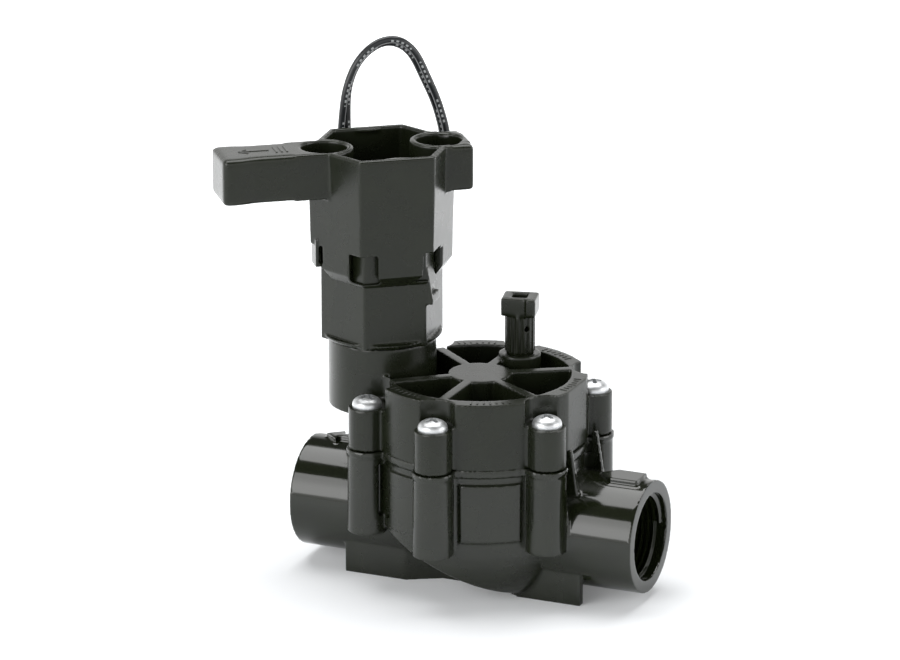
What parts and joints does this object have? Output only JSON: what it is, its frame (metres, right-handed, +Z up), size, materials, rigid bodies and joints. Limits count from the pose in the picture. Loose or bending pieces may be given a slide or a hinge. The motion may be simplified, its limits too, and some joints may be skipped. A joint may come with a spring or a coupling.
{
  "type": "irrigation zone valve",
  "caption": "Black plastic inline solenoid diaphragm valve with threaded ports, screwed bonnet, turning solenoid with handle, bleed screw and two wire leads.",
  "frame": {"origin": "on the base plane, under the bonnet axis", "axes": "+X along the port axis towards the inlet, +Z up, +Y away from the picture's viewer"},
  "size_m": [0.1318, 0.1187, 0.1587],
  "materials": {
    "body_plastic": "black glass-filled nylon, moulded, satin with soft gloss",
    "stainless_steel": "stainless steel, bright",
    "seal_rubber": "moulded black rubber, matt",
    "filter_plastic": "grey moulded plastic",
    "bobbin_plastic": "natural moulded nylon",
    "copper": "bare copper",
    "plated_steel": "zinc plated steel",
    "potting_resin": "cast black resin",
    "lead_insulation": "black PVC insulation with white dashes",
    "tie_plastic": "natural nylon tie"
  },
  "bodies": {
    "valve": {"valve_body": "body_plastic", "inlet_port": "body_plastic", "outlet_port": "body_plastic", "bonnet": "body_plastic", "bonnet_screws": "stainless_steel", "diaphragm": "seal_rubber", "diaphragm_spring": "stainless_steel", "lead_a": "lead_insulation", "lead_b": "lead_insulation", "lead_a_coil": "lead_insulation", "lead_b_coil": "lead_insulation", "lead_a_end": "copper", "lead_b_end": "copper", "coil_ties": "tie_plastic"},
    "diaphragm_core": {"diaphragm_plate": "body_plastic", "diaphragm_guide": "body_plastic", "diaphragm_screw": "stainless_steel", "inlet_filter": "filter_plastic"},
    "solenoid": {"solenoid_housing": "body_plastic", "handle_sleeve": "body_plastic", "coil_bobbin": "bobbin_plastic", "coil_winding": "copper", "flux_shell": "plated_steel", "flux_washers": "plated_steel", "coil_potting": "potting_resin", "core_tube": "stainless_steel", "pole_piece": "stainless_steel", "plunger_spring": "stainless_steel", "plunger_keeper": "body_plastic", "solenoid_oring": "seal_rubber", "lead_grommet": "seal_rubber"},
    "plunger": {"plunger": "stainless_steel", "plunger_seal": "seal_rubber"},
    "bleed": {"bleed_screw": "body_plastic", "bleed_oring": "seal_rubber"}
  },
  "joints": [
    {"name": "solenoid_turn", "type": "hinge", "parent": "valve", "child": "solenoid", "pos_m": [-0.032, 0, 0.0722], "axis": [0, 0, 1], "range_deg": [0, 90], "deforming": ["lead_a", "lead_b"]},
    {"name": "plunger_lift", "type": "slide", "parent": "solenoid", "child": "plunger", "axis": [0, 0, 1], "range_m": [0, 0.002], "stiffness_N_per_m": 200, "springref_m": -0.005, "deforming": ["plunger_spring"]},
    {"name": "diaphragm_lift", "type": "slide", "parent": "valve", "child": "diaphragm_core", "axis": [0, 0, 1], "range_m": [0, 0.005], "stiffness_N_per_m": 300, "springref_m": -0.01, "deforming": ["diaphragm", "diaphragm_spring"]},
    {"name": "bleed_turn", "type": "hinge", "parent": "valve", "child": "bleed", "pos_m": [0.005, 0.019, 0.066], "axis": [0, 0, 1], "range_deg": [0, 270]}
  ]
}
